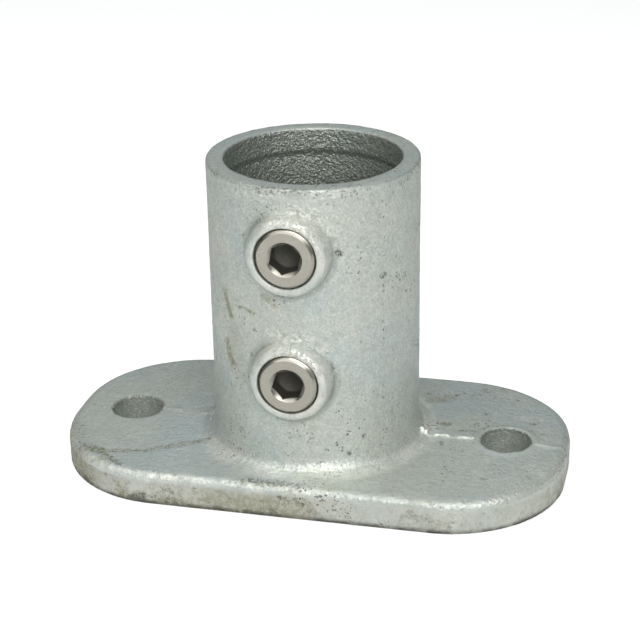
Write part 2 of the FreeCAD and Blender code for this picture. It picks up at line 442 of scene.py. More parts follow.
def spun(bm, steps):
    """Spins a section in XZ once about Z and closes the seam."""
    bmesh.ops.spin(
        bm, geom=bm.verts[:] + bm.edges[:], cent=(0, 0, 0), axis=(0, 0, 1), dvec=(0, 0, 0),
        angle=2 * math.pi, steps=steps, use_merge=True,
    )
    bmesh.ops.remove_doubles(bm, verts=bm.verts[:], dist=TINY)
    bmesh.ops.recalc_face_normals(bm, faces=bm.faces[:])
    return bm


def turned(corners, steps):
    """A bmesh turned about Z from corners of its section: radius, height and round of each."""
    bm = bmesh.new()
    verts = [bm.verts.new((radius, 0, height)) for radius, height, _ in corners]
    bm.faces.new(verts)
    for vert, (_, _, rounding) in zip(verts, corners):
        if rounding:
            bevelled(bm, [vert], rounding, EDGE_SEGMENTS, "VERTICES")
    bmesh.ops.delete(bm, geom=bm.faces[:], context="FACES_ONLY")
    on_axis = [e for e in bm.edges if all(abs(v.co.x) < TINY for v in e.verts)]
    bmesh.ops.delete(bm, geom=on_axis, context="EDGES")
    return spun(bm, steps)


def towards_front(bm, height):
    """Lays a turned shape so that its +Z points out of a boss at a height."""
    bmesh.ops.rotate(bm, verts=bm.verts[:], cent=(0, 0, 0), matrix=Matrix.Rotation(math.pi / 2, 3, "X"))
    bmesh.ops.translate(bm, verts=bm.verts[:], vec=(0, 0, height))
    return bm


def as_object(bm, name):
    """An object at the origin that holds a bmesh, which is freed."""
    mesh = bpy.data.meshes.new(name)
    bm.to_mesh(mesh)
    bm.free()
    obj = bpy.data.objects.new(name, mesh)
    bpy.context.scene.collection.objects.link(obj)
    return obj


def applied(obj):
    """Applies an object's modifiers to its mesh."""
    graph = bpy.context.evaluated_depsgraph_get()
    made = bpy.data.meshes.new_from_object(obj.evaluated_get(graph))
    old = obj.data
    obj.modifiers.clear()
    obj.data = made
    bpy.data.meshes.remove(old)
    return obj


def combined(obj, operation, tools):
    """Adds tools to an object or cuts them out of it, and removes them."""
    for tool in tools:
        boolean = obj.modifiers.new(tool.name, "BOOLEAN")
        boolean.operation = operation
        boolean.solver = "EXACT"
        boolean.object = tool
    applied(obj)
    for tool in tools:
        bpy.data.meshes.remove(tool.data)
    return obj


def edges_at_height(bm, height):
    """The edges of a bmesh that lie flat at a height."""
    return [e for e in bm.edges if all(abs(v.co.z - height) < TINY for v in e.verts)]


def plate(sizes):
    """The oblong plate with its edges rounded and its three holes cut."""
    bm = bmesh.new()
    size = CAD_HIGH - CAD_LOW
    bmesh.ops.create_grid(bm, x_segments=1, y_segments=1, size=0.5)
    bmesh.ops.scale(bm, verts=bm.verts[:], vec=(size.x, size.y, 1))
    bevelled(bm, bm.verts[:], (size.y - sizes.end_flat) / 2, CORNER_SEGMENTS, "VERTICES")
    raised = bmesh.ops.extrude_face_region(bm, geom=bm.faces[:], use_keep_orig=True)
    top = [v for v in raised["geom"] if isinstance(v, bmesh.types.BMVert)]
    bmesh.ops.translate(bm, verts=top, vec=(0, 0, sizes.plate_thickness))
    bmesh.ops.recalc_face_normals(bm, faces=bm.faces[:])
    for height, rounding in ((sizes.plate_thickness, sizes.plate_top_round), (0, sizes.plate_foot_round)):
        bevelled(bm, edges_at_height(bm, height), rounding, EDGE_SEGMENTS, "EDGES")
    blank = as_object(bm, "plate")
    cores = [as_object(fixing_hole(sizes, side), "fixing_hole") for side in (-1, 1)]
    middle = (sizes.sleeve_radius + BORE_RADIUS) / 2
    run = sizes.plate_thickness
    centre = turned([(0, -run, 0), (middle, -run, 0), (middle, 2 * run, 0), (0, 2 * run, 0)], MIDDLE_STEPS)
    return combined(blank, "DIFFERENCE", cores + [as_object(centre, "middle")])


def fixing_hole(sizes, side):
    """What one fixing hole leaves out, flared by the rounds of its two mouths."""
    top = sizes.plate_thickness
    wide = HOLE_RADIUS + 4 * sizes.hole_round
    mouth = HOLE_RADIUS + sizes.hole_flare
    bm = turned([
        (0, -RUN, 0), (wide, -RUN, 0), (wide, 0, 0), (mouth, 0, sizes.hole_round), (HOLE_RADIUS, top / 2, 0),
        (mouth, top, sizes.hole_round), (wide, top, 0), (wide, top + RUN, 0), (0, top + RUN, 0),
    ], HOLE_STEPS)
    bmesh.ops.translate(bm, verts=bm.verts[:], vec=(side * HOLE_SPACING / 2, 0, 0))
    return bm


def sleeve(sizes):
    """The sleeve with its fillet, lands and relief, its bosses added and its tapped holes cut."""
    top = CAD_HIGH.z
    inner = BORE_RADIUS
    relief = inner + sizes.relief
    outer = sizes.sleeve_radius
    ledge = 0.2 * MM
    sunk = 0.02 * MM
    foot = outer + sizes.sleeve_fillet + ledge
    seat = sizes.plate_thickness - sunk
    ramp = sizes.land + sizes.relief_ramp
    bm = turned([
        (inner, 0, sizes.bore_round), (foot, 0, 0), (foot, seat, 0), (outer, seat, sizes.sleeve_fillet),
        (outer, top, sizes.rim_round), (inner, top, sizes.bore_round), (inner, top - sizes.land, 0),
        (relief, top - ramp, 0), (relief, ramp, 0), (inner, sizes.land, 0),
    ], SLEEVE_STEPS)
    ring = as_object(bm, "sleeve")
    combined(ring, "UNION", [as_object(boss(sizes, height), "boss") for height in BOSS_HEIGHTS])
    holes = [as_object(tapped_hole(sizes, height), "tapped_hole") for height in BOSS_HEIGHTS]
    return combined(ring, "DIFFERENCE", holes)


def boss(sizes, height):
    """One boss: a blunt cone that starts inside the sleeve's wall and flares at its foot."""
    face = sizes.sleeve_radius + sizes.boss_stand_off
    root = (BORE_RADIUS + sizes.sleeve_radius) / 2
    spread = (face - root) * math.tan(sizes.boss_draft)
    bm = turned([
        (0, root, 0), (sizes.boss_face_radius + spread, root, 0),
        (sizes.boss_face_radius, face, sizes.boss_edge_round), (0, face, 0),
    ], HOLE_STEPS)
    return towards_front(bm, height)


def tapped_hole(sizes, height):
    """What one tapped hole leaves out, with a slight countersink at its mouth."""
    face = sizes.sleeve_radius + sizes.boss_stand_off
    radius = sizes.tapped_radius
    sink = 0.4 * MM
    bm = turned([
        (0, BORE_RADIUS / 2, 0), (radius, BORE_RADIUS / 2, 0), (radius, face - sink, 0),
        (radius + sink + RUN, face + RUN, 0), (0, face + RUN, 0),
    ], HOLE_STEPS)
    return towards_front(bm, height)


def from_stretch(place, start, end):
    """How far a place is from a straight stretch between two points of the plate, seen from above."""
    along = end - start
    share = min(1, max(0, (place - start).dot(along) / along.length_squared))
    return (place - start - along * share).length


def tent(distance, width):
    """A soft bump: one at nought, and nought from a width outwards."""
    return (1 + math.cos(math.pi * min(1, abs(distance) / width))) / 2


def seam_offset(sizes, place, normal):
    """The height of the flash along the parting plane, on the plate's top and up the fillet."""
    steepest = 0.12
    if normal.z < steepest or place.z > sizes.plate_thickness + 0.5 * sizes.sleeve_fillet:
        return 0
    flat = Vector((place.x, place.y, 0))
    half_width = sizes.seam_width / 2
    share = max(part * tent(from_stretch(flat, start, end), half_width) for start, end, part in SEAM)
    swell = 0.75 + 0.7 * noise.noise(Vector((place.x / SEAM_WAVE, 9.1, 0)))
    return sizes.seam_height * share * swell


def edge_wander(sizes, place):
    """How far the edges stray at a place: of the bosses, the fixing holes and, less, the rim."""
    share = 0
    if place.y < -sizes.sleeve_radius:
        from_screw = min(math.hypot(place.x, place.z - height) for height in BOSS_HEIGHTS)
        share = tent(from_screw - sizes.boss_face_radius + 1.2 * MM, 2.6 * MM)
    from_hole = abs(math.hypot(abs(place.x) - HOLE_SPACING / 2, place.y) - HOLE_RADIUS)
    share = max(share, tent(from_hole, 1.6 * MM), 0.35 * tent(CAD_HIGH.z - place.z, 2 * MM))
    return sizes.wander * share * noise.noise(place / EDGE_WAVE)


def top_offset(sizes, place, normal):
    """The crown of the plate's top and the lip round its right hole."""
    flattest = 0.6
    on_top = normal.z > flattest and place.z < sizes.plate_thickness + MM
    if not on_top or math.hypot(place.x, place.y) < sizes.sleeve_radius:
        return 0
    crown = sizes.crown * (1 - abs(place.y) / CAD_HIGH.y)
    from_hole = math.hypot(place.x - HOLE_SPACING / 2, place.y) - HOLE_RADIUS
    return crown + sizes.lip * tent(from_hole, 3 * MM)


def surface_offset(sizes, place, normal):
    """How far the cast surface stands off its true form at a place. The underside stays flat."""
    flat_foot = 0.3 * MM
    if place.z < flat_foot:
        return 0
    radius = math.hypot(place.x, place.y)
    if radius < BORE_RADIUS + 1.2 * sizes.relief and place.z < CAD_HIGH.z - sizes.bore_round:
        return sizes.bore_grain * noise.noise(place / BORE_WAVE)
    slow = noise.noise(place / SLOW_WAVE) + 0.5 * noise.noise(place / SHORT_WAVE)
    fine = noise.noise(place / PEEL_WAVE)
    offset = sizes.waviness * 0.6 * slow + sizes.peel * fine + edge_wander(sizes, place)
    return offset + top_offset(sizes, place, normal) + seam_offset(sizes, place, normal)


def weathered(obj, sizes):
    """Gives a merged skin its waviness, grain and seam, and keeps it inside the model's box."""
    verts = obj.data.vertices
    normals = [vert.normal.copy() for vert in verts]
    for vert, normal in zip(verts, normals):
        vert.co = vert.co + normal * surface_offset(sizes, vert.co, normal)
    return held_in_box(obj)


def held_in_box(obj):
    """Keeps an object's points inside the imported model's box."""
    for vert in obj.data.vertices:
        vert.co = [min(max(vert.co[i], CAD_LOW[i]), CAD_HIGH[i]) for i in range(3)]
    return obj


def merged_skin(parts, sizes, name):
    """Merges overlapping closed shapes into one skin whose creases are softened."""
    bm = bmesh.new()
    for part in parts:
        bm.from_mesh(part.data)
        bpy.data.meshes.remove(part.data)
    obj = as_object(bm, name)
    remesh = obj.modifiers.new("merge", "REMESH")
    remesh.mode = "VOXEL"
    remesh.voxel_size = sizes.skin * 1
    soften = obj.modifiers.new("soften", "SMOOTH")
    soften.factor = 0.5
    soften.iterations = 5
    return applied(obj)


def thinned(obj, triangles):
    """Thins a mesh to a number of triangles, least where it curves most."""
    obj.data.calc_loop_triangles()
    now = len(obj.data.loop_triangles)
    if now > triangles:
        decimate = obj.modifiers.new("thin", "DECIMATE")
        decimate.ratio = triangles / now
        applied(obj)
    return obj


def smoothed(obj, degrees):
    """Shades an object smooth, save for edges that turn by more than some degrees."""
    for face in obj.data.polygons:
        face.use_smooth = True
    obj.data.set_sharp_from_angle(angle=math.radians(degrees))
    return obj


def casting(sizes):
    """The whole casting: plate, sleeve and bosses as one skin with the marks of the mould."""
    skin = merged_skin([plate(sizes), sleeve(sizes)], sizes, "galvanised_casting")
    weathered(skin, sizes)
    return smoothed(held_in_box(thinned(skin, CASTING_TRIANGLES)), CASTING_CREASE)


def screw_body(sizes, height):
    """A set screw without its socket, with a real helix on its flank."""
    bm = bmesh.new()
    tip, face, radius = SCREW_TIP, SCREW_FACE, SCREW_RADIUS
    corners = [
        (0, tip + sizes.cup_depth), (sizes.cup_radius, tip), (radius - sizes.tip_chamfer, tip),
        (radius, tip + sizes.tip_chamfer), (radius, face - sizes.face_chamfer),
        (radius - sizes.face_chamfer, face), (0, face),
    ]
    verts = [bm.verts.new((r, 0, z)) for r, z in corners]
    for a, b in zip(verts, verts[1:]):
        bm.edges.new((a, b))
    for edge in bm.edges[:]:
        if all(v.co.x > sizes.cup_radius for v in edge.verts):
            rows = round(edge.calc_length() / (sizes.pitch / THREAD_ROWS))
            bmesh.ops.subdivide_edges(bm, edges=[edge], cuts=max(1, rows))
    # How steeply the thread's depth grows from its crest, and how flat the crest is
    flank, crest = 1.25, 0.12
    for vert in spun(bm, SCREW_STEPS).verts:
        here = math.hypot(vert.co.x, vert.co.y)
        turn = math.atan2(vert.co.y, vert.co.x) / (2 * math.pi)
        phase = (vert.co.z / sizes.pitch - turn) % 1
        limit = radius - sizes.thread_depth * min(1, max(0, flank * abs(2 * phase - 1) - crest))
        if here > limit:
            vert.co.x *= limit / here
            vert.co.y *= limit / here
    return towards_front(bm, height)


def socket_tools(sizes, height, turn):
    """What the hexagon socket leaves out: the hexagon, its drill point and the cone of its mouth."""
    face = SCREW_FACE
    floor = face - sizes.socket_depth
    apothem = sizes.across_flats / 2
    corner = apothem / math.cos(math.radians(30))
    hexagon = bmesh.new()
    bmesh.ops.create_cone(
        hexagon, cap_ends=True, segments=6, radius1=corner, radius2=corner, depth=sizes.socket_depth + RUN
    )
    to_corner = Matrix.Rotation(turn - math.radians(30), 3, "Z")
    bmesh.ops.rotate(hexagon, verts=hexagon.verts[:], cent=(0, 0, 0), matrix=to_corner)
    bmesh.ops.translate(hexagon, verts=hexagon.verts[:], vec=(0, 0, (floor + face + RUN) / 2))
    drill = 0.95 * apothem
    depth = drill / math.tan(math.radians(60))
    widest = floor + 0.05 * MM
    point = turned([(0, widest - depth, 0), (drill, widest, 0), (0, floor + MM, 0)], POINT_STEPS)
    mouth = corner + sizes.mouth
    cone = turned([(0, face - mouth, 0), (mouth + RUN, face + RUN, 0), (0, face + RUN, 0)], HOLE_STEPS)
    return [as_object(towards_front(bm, height), "socket") for bm in (hexagon, point, cone)]


def cleaned(obj):
    """Takes out the slivers that a cut leaves."""
    bm = bmesh.new()
    bm.from_mesh(obj.data)
    bmesh.ops.remove_doubles(bm, verts=bm.verts[:], dist=TINY)
    bmesh.ops.dissolve_degenerate(bm, edges=bm.edges[:], dist=TINY)
    bm.to_mesh(obj.data)
    bm.free()
    return obj


def set_screw(sizes, name, height, turn):
    """One finished set screw."""
    screw = as_object(screw_body(sizes, height), name)
    combined(screw, "DIFFERENCE", socket_tools(sizes, height, turn))
    smoothed(cleaned(screw), SCREW_CREASE)
    flats = screw.modifiers.new("flat_faces", "WEIGHTED_NORMAL")
    flats.keep_sharp = True
    return applied(screw)


# Materials


class Graph:
    """A short way to build a material's nodes."""

    def __init__(self, name=None, tree=None):
        if tree is None:
            self.material = bpy.data.materials.new(name)
            self.material.use_nodes = True
            tree = self.material.node_tree
        self.tree = tree
        self.tree.nodes.clear()

    def node(self, kind, inputs=None, **settings):
        """Adds a node with settings and inputs, each a value or another node's output."""
        made = self.tree.nodes.new("ShaderNode" + kind)
        for key, value in settings.items():
            setattr(made, key, value)
        for key, value in (inputs or {}).items():
            if isinstance(value, bpy.types.NodeSocket):
                self.tree.links.new(value, made.inputs[key])
            else:
                made.inputs[key].default_value = value
        return made

    def math(self, operation, a, b=0.0, clamp=False):
        """One sum on two numbers."""
        return self.node("Math", {0: a, 1: b}, operation=operation, use_clamp=clamp).outputs[0]

    def times(self, first, *more):
        """The product of some numbers."""
        for factor in more:
            first = self.math("MULTIPLY", first, factor)
        return first

    def most(self, first, *more):
        """The largest of some numbers."""
        for other in more:
            first = self.math("MAXIMUM", first, other)
        return first

    def vector(self, operation, a, b=(0, 0, 0)):
        """One sum on two vectors, which gives a vector."""
        return self.node("VectorMath", {0: a, 1: b}, operation=operation).outputs["Vector"]

    def measure(self, operation, a, b=(0, 0, 0)):
        """One sum on two vectors, which gives a number."""
        return self.node("VectorMath", {0: a, 1: b}, operation=operation).outputs["Value"]

    def part(self, vector, axis):
        """One coordinate of a vector."""
        return self.node("SeparateXYZ", {0: vector}).outputs[axis]

    def noise(self, place, scale, detail=2.0, roughness=0.5, distortion=0.0):
        """Cloudy noise with features of one over scale, in metres."""
        inputs = {"Vector": place, "Scale": scale, "Detail": detail, "Roughness": roughness}
        return self.node("TexNoise", {**inputs, "Distortion": distortion}).outputs["Fac"]

    def range(self, value, low, high, to_low=0.0, to_high=1.0):
        """Maps a stretch of values to another, smoothly and within its ends."""
        made = self.node("MapRange", {
            "Value": value, "From Min": low, "From Max": high, "To Min": to_low, "To Max": to_high,
        }, interpolation_type="SMOOTHSTEP", clamp=False)
        return made.outputs["Result"]

    def band(self, value, low, high, to_low=0.0, to_high=1.0):
        """The same as range, from ends in millimetres."""
        return self.range(value, low * MM, high * MM, to_low, to_high)

    def painted(self, under, cover, rgb):
        """Lays a colour over another as far as a mask covers it."""
        return self.node("Mix", {0: cover, 6: under, 7: solid(rgb)}, data_type="RGBA").outputs[2]

    def finish(self, shader):
        """Links the shader to the output and returns the material."""
        self.node("OutputMaterial", {"Surface": shader})
        return self.material


def solid(rgb):
    """A colour with its alpha."""
    return (*rgb, 1.0)


def marked(g, place, marks):
    """How strongly any of some strokes covers a place."""
    covered = 0.0
    for start, end, half_width, strength in marks:
        along = end - start
        from_start = g.vector("SUBTRACT", place, start)
        share = g.measure("DOT_PRODUCT", from_start, along / along.length_squared)
        share = g.most(g.math("MINIMUM", share, 1.0), 0.0)
        nearest = g.node("VectorMath", {0: along, "Scale": share}, operation="SCALE").outputs["Vector"]
        distance = g.measure("DISTANCE", from_start, nearest)
        reach = half_width * MM
        covered = g.most(covered, g.range(distance, 1.4 * reach, 0.4 * reach, 0.0, strength))
    return covered


def seam_highlight_strokes():
    """The painted highlight along the seam's crest, as strokes."""
    up = Vector((0, 0, 11 * MM))
    return [(start + up, end + up, 0.8, 0.8 * part) for start, end, part in SEAM]


def specks(g, place, per_metre, share, largest):
    """Scattered dots of unlike size: only a share of the cells holds one."""
    cells = g.node("TexVoronoi", {"Vector": place, "Scale": per_metre, "Randomness": 1.0})
    draw = g.node("SeparateColor", {0: cells.outputs["Color"]}).outputs[0]
    size = g.times(g.math("SUBTRACT", draw, 1 - share), largest / share)
    return g.range(g.math("SUBTRACT", size, cells.outputs["Distance"]), 0.0, 0.09)


def on_bosses(g, place, low, high, mask):
    """The stronger of both bosses' masks, faded in on the sleeve's front from one Y to another in mm."""
    front = g.band(g.part(place, "Y"), low, high)
    covered = 0.0
    for height in BOSS_HEIGHTS:
        offset = g.vector("MULTIPLY", g.vector("SUBTRACT", place, (0, 0, height)), (1, 0, 1))
        covered = g.most(covered, mask(offset))
    return g.times(covered, front)


def boss_crust_and_highlight(g, place):
    """How near a place is to the upper right of a boss's edge, where rough pale crust and a painted highlight
    are laid.
    """

    def mask(offset):
        upper_right = g.measure("DOT_PRODUCT", offset, (0.5, 0, 0.9))
        return g.times(g.band(g.measure("LENGTH", offset), 15, 10), g.band(upper_right, 2, 11))

    return on_bosses(g, place, -24, -31, mask)


def boss_foot_shade(g, place):
    """How near a place is to the hollow at a boss's foot, save above it: where shade is painted."""

    def mask(offset):
        above = g.measure("DOT_PRODUCT", offset, (0.35, 0, 0.94))
        off_ring = g.math("ABSOLUTE", g.math("SUBTRACT", g.measure("LENGTH", offset), 12.2 * MM))
        return g.times(g.band(off_ring, 1.7, 0.5), g.band(above, 10, 4))

    return on_bosses(g, place, -25, -27, mask)


def screw_gap_shade(g, place):
    """How strongly the painted shade in the gap round a screw shows at a place."""

    def mask(offset):
        return g.range(g.measure("LENGTH", offset), SCREW_RADIUS + 0.55 * MM, SCREW_RADIUS + 0.25 * MM)

    return g.times(on_bosses(g, place, -31, -32, mask), 0.85)


def near_holes(g, place):
    """One on the wall of a fixing hole, and nought elsewhere."""
    offset = g.vector("SUBTRACT", g.vector("ABSOLUTE", place), (HOLE_SPACING / 2, 0, 0))
    from_axis = g.measure("LENGTH", g.vector("MULTIPLY", offset, (1, 1, 0)))
    return g.range(from_axis, HOLE_RADIUS + 1.0 * MM, HOLE_RADIUS + 0.5 * MM)


def zinc_places(g):
    """Where a place lies on the casting, with the clouds and the grain that the coat's layers share."""
    at = SimpleNamespace(place=g.node("TexCoord").outputs["Object"])
    at.height = g.part(at.place, "Z")
    at.across = g.part(at.place, "X")
    at.radius = g.measure("LENGTH", g.vector("MULTIPLY", at.place, (1, 1, 0)))
    at.bore = g.times(
        g.range(at.radius, BORE_RADIUS + 1.2 * MM, BORE_RADIUS + 0.8 * MM),
        g.range(at.height, CAD_HIGH.z - 0.3 * MM, CAD_HIGH.z - 0.7 * MM),
    )
    at.holes = g.times(near_holes(g, at.place), g.band(at.height, 10.6, 10.1))
    at.off_floor = g.band(at.height, 0.05, 0.35)
    side_face = g.times(g.band(at.height, 8.0, 6.8), g.band(at.radius, 33, 36), at.off_floor)
    at.side_face = g.math("SUBTRACT", side_face, at.holes, clamp=True)
    at.top_round = g.times(g.band(at.height, 7.2, 8.6), g.band(at.height, 10.0, 9.7))
    at.low = g.band(at.height, 5, 0.5, 0.0, 0.1)
    at.handled = g.band(at.across, 12, -6, 0.3, 1.0)

    shift = g.node("TexNoise", {"Vector": at.place, "Scale": 700.0, "Detail": 2.0}).outputs["Color"]
    shift = g.vector("MULTIPLY", g.vector("SUBTRACT", shift, (0.5, 0.5, 0.5)), [2.6 * MM] * 3)
    at.ragged = g.vector("ADD", at.place, shift)
    at.wavy = g.vector("ADD", at.place, g.vector("MULTIPLY", shift, (0.4, 0.4, 0.4)))
    at.patches = g.noise(at.ragged, 130, 4, 0.6)
    at.mottle = g.noise(at.place, 420, 4, 0.65)
    at.grain = g.noise(at.place, 1500, 3, 0.6)
    # Rough pale crust from the marks, and a painted highlight on the upper right of each boss.
    crust_and_highlight = g.most(boss_crust_and_highlight(g, at.place), marked(g, at.ragged, CRUST_MARKS))
    at.crust_and_highlight = g.times(crust_and_highlight, g.range(g.noise(at.wavy, 700, 4, 0.7), 0.4, 0.56))
    return at


def bare_zinc(g, at, finishes):
    """The coat's own tones: warm and pale clouds, and the side face dulled by handling."""
    broad = g.range(g.noise(at.place, 38, 3, 0.55), 0.36, 0.64)
    tone = g.painted(solid(finishes.zinc), broad, finishes.zinc_warm)
    dulled = g.times(at.side_face, g.band(at.across, 26, 6, 0.5, 0.8))
    tone = g.painted(tone, dulled, finishes.edge_tone)
    return g.painted(tone, g.range(at.patches, 0.45, 0.7, 0.0, 0.4), finishes.zinc_pale)


def crust_highlight_and_boss_shade(g, at, finishes, tone):
    """Paints shade into the hollows at the bosses' feet, and lays the crust, with the bosses' painted
    highlight, over them.
    """
    # Painted shade in the hollows at the bosses' feet.
    tone = g.painted(tone, g.times(boss_foot_shade(g, at.place), 0.6), finishes.zinc_deep)
    return g.painted(tone, g.times(at.crust_and_highlight, finishes.crust_cover), finishes.crust_and_highlight)


def edge_light_and_shade(g, at, finishes, tone):
    """Paints light and shade on the edges: painted shade on the plate's top round right of the middle and a
    painted highlight along its left, a painted highlight on the fillet, and painted shade on the rim.
    """
    # Painted shade that dims the top round's highlight right of the middle, then a painted highlight along
    # its left part.
    from_shaded_stretch = g.math("ABSOLUTE", g.math("SUBTRACT", at.across, 38 * MM))
    tone = g.painted(tone, g.times(at.top_round, g.band(from_shaded_stretch, 24, 10, 0.0, 0.2)), finishes.zinc_deep)
    left = g.times(at.top_round, g.band(at.across, 22, -5))
    tone = g.painted(tone, g.times(left, g.range(at.mottle, 0.35, 0.58, 0.0, 0.5)), finishes.crust_and_highlight)
    # Painted highlight on the fillet.
    fillet = g.times(
        g.band(at.radius, 30.6, 32), g.band(at.radius, 37.5, 33.5), g.band(at.across, -34, -26, 0.25, 1.0),
        g.band(at.across, 8, 22, 1.0, 1.5), g.band(at.height, 8.5, 9.5),
    )
    tone = g.painted(tone, g.times(fillet, g.range(at.patches, 0.3, 0.6, 0.2, 0.6)), finishes.crust_and_highlight)
    # Painted shade on the rim's top face and its outer round.
    rim = g.range(at.height, CAD_HIGH.z - 1.2 * MM, CAD_HIGH.z - 0.6 * MM, 0.0, 0.22)
    return g.painted(tone, rim, finishes.zinc_deep)


def grained(g, at, finishes, tone):
    """Paints shade on the walls of the fixing holes, darkens the low spots of the grain and brightens its
    flecks, most near the sleeve and in the holes; in the holes the flecks are painted glints.
    """
    # Painted shade: the walls of the fixing holes and the rounds of their mouths take the bore's darker
    # colour.
    tone = g.painted(tone, g.times(at.holes, 0.8), finishes.bore)
    tone = g.painted(tone, g.range(at.mottle, 0.35, 0.6, 0.2, 0.0), finishes.zinc_deep)
    coarse = g.most(g.band(at.radius, 36, 31.5, 0.35, 1.0), at.holes)
    tone = g.painted(tone, g.times(coarse, g.range(at.grain, 0.38, 0.6, 0.34, 0.0)), finishes.zinc_deep)
    # Pale grain flecks, which on the walls of the fixing holes are painted glints.
    flecks_and_glints = g.range(g.noise(at.place, 1900, 2), 0.56, 0.72, 0.0, 0.4)
    return g.painted(tone, g.times(coarse, flecks_and_glints), finishes.crust_and_highlight)


def stained(g, at):
    """How strongly the olive stain shows: its strokes, the smears on the side face and a faint haze."""
    smears = g.math("ADD", g.noise(at.ragged, 170, 6, 0.8, 0.6), at.low)
    smears = g.times(g.range(smears, 0.49, 0.66), g.times(at.side_face, at.handled))
    haze = g.range(g.noise(at.place, 60, 4, 0.7), 0.56, 0.75, 0.0, 0.3)
    stain = g.most(marked(g, at.ragged, OLIVE_MARKS), smears, haze)
    return g.times(stain, g.range(g.noise(at.place, 900, 3, 0.7), 0.32, 0.58, 0.25, 1.0))


def pale_wear_and_seam_highlight(g, at):
    """How strongly the coat is painted pale: worn smudges on the plate, and a painted highlight on the crest
    of the seam.
    """
    breaks = g.range(g.noise(at.place, 450, 2), 0.36, 0.5, 0.3, 1.0)
    # Painted highlight along the seam's crest.
    crest = g.times(marked(g, at.place, seam_highlight_strokes()), breaks)
    breaks = g.range(g.noise(at.wavy, 500, 4, 0.7), 0.42, 0.6, 0.1, 1.0)
    return g.most(g.times(marked(g, at.ragged, PALE_MARKS), breaks), crest)


def dirtied(g, at):
    """How strongly dark dirt shows: scattered specks, grime, dotted lines and flaws."""
    clusters = g.range(g.noise(at.place, 70, 3), 0.5, 0.7)
    clusters = g.times(clusters, g.band(at.across, -30, -12, 0.35, 1.0))
    clusters = g.most(clusters, marked(g, at.place, SPECK_PATCHES))
    fine = g.times(specks(g, at.wavy, 1400, 0.4, 0.7), clusters)
    wide = g.times(specks(g, at.wavy, 380, 0.2, 0.2), g.range(clusters, 0.0, 0.6, 0.5, 0.9))
    grime = g.math("ADD", g.noise(at.place, 120, 3, 0.6), at.low)
    grime = g.math("ADD", g.noise(at.wavy, 750, 5, 0.85), grime)
    grime = g.times(g.range(grime, 1.05, 1.2), g.most(at.side_face, g.times(at.top_round, 0.5)))
    grime = g.times(grime, g.range(at.handled, 0.3, 1.0, 0.5, 1.0))
    breaks = g.range(g.noise(at.place, 1300, 3, 0.6), 0.47, 0.58, 0.05, 0.85)
    dotted = g.times(marked(g, at.ragged, DIRT_LINES), breaks)
    breaks = g.range(g.noise(at.place, 1900, 2), 0.43, 0.53, 0.1, 1.2)
    flawed = g.times(marked(g, at.wavy, DARK_MARKS), breaks)
    return g.most(fine, wide, dotted, flawed, grime)


def coat_relief(g, at):
    """The coat's fine relief, and the grain that the sand cores left in the bore and the holes."""
    relief = g.math("ADD", g.times(at.mottle, 0.4), g.times(at.grain, 0.3))
    relief = g.math("ADD", relief, g.times(g.noise(at.place, 800, 2, 0.5), 0.5))
    relief = g.math("SUBTRACT", relief, g.times(specks(g, at.place, 700, 0.3, 0.5), 0.3))
    relief = g.math("ADD", relief, g.times(at.crust_and_highlight, 0.5))
    fine = g.node("Bump", {"Strength": 0.8, "Distance": 0.5 * MM, "Height": relief})
    cored = g.node("Bump", {
        "Strength": g.most(g.times(at.bore, 0.95), g.times(at.holes, 0.6)), "Distance": 0.6 * MM,
        "Height": g.noise(at.place, 1350, 3, 0.6, 0.3), "Normal": fine.outputs[0],
    })
    return cored.outputs[0]


def zinc_material(finishes):
    """The zinc coat: mottled grey with crust, stain, dirt and strokes, painted shade and highlights, coarse
    and bright inside the bore.
    """
    g = Graph("zinc_coat")
    at = zinc_places(g)
    tone = bare_zinc(g, at, finishes)
    for layer in (crust_highlight_and_boss_shade, edge_light_and_shade, grained):
        tone = layer(g, at, finishes, tone)
    stain = stained(g, at)
    dirt = dirtied(g, at)
    tone = g.painted(tone, g.times(stain, finishes.stain_cover), finishes.stain)
    tone = g.painted(tone, pale_wear_and_seam_highlight(g, at), finishes.zinc_pale)
    tone = g.painted(tone, g.times(dirt, finishes.dirt_cover), finishes.dirt)
    # A patchy dark band along the foot of the plate's side face, darkest nearest the floor and left off the
    # underside.
    foot_line = g.times(g.band(at.height, 2.2, 0.7), g.range(at.patches, 0.35, 0.6, 0.4, 1.0))
    tone = g.painted(tone, g.times(foot_line, at.off_floor), finishes.dirt)
    # Painted shade in the gaps round the screws.
    tone = g.painted(tone, screw_gap_shade(g, at.place), finishes.dirt)
    # The bore's own darker coat, with painted shade that darkens it further down the bore.
    tone = g.painted(tone, g.times(at.bore, g.band(at.height, 87, 80, 0.6, 0.9)), finishes.bore)

    soiled = g.most(stain, dirt)
    rough = g.range(at.mottle, 0.3, 0.7, finishes.zinc_rough + 0.08, finishes.zinc_rough - 0.06)
    rough = g.math("SUBTRACT", rough, g.times(at.bore, 0.2))
    rough = g.math("ADD", rough, g.times(soiled, 0.25), clamp=True)
    metal = g.math("ADD", finishes.zinc_metal, g.times(at.bore, 0.2))
    metal = g.math("SUBTRACT", metal, g.times(soiled, finishes.zinc_metal), clamp=True)
    shader = g.node("BsdfPrincipled", {
        "Base Color": tone, "Metallic": metal, "Roughness": rough, "Normal": coat_relief(g, at),
    })
    return g.finish(shader.outputs[0])


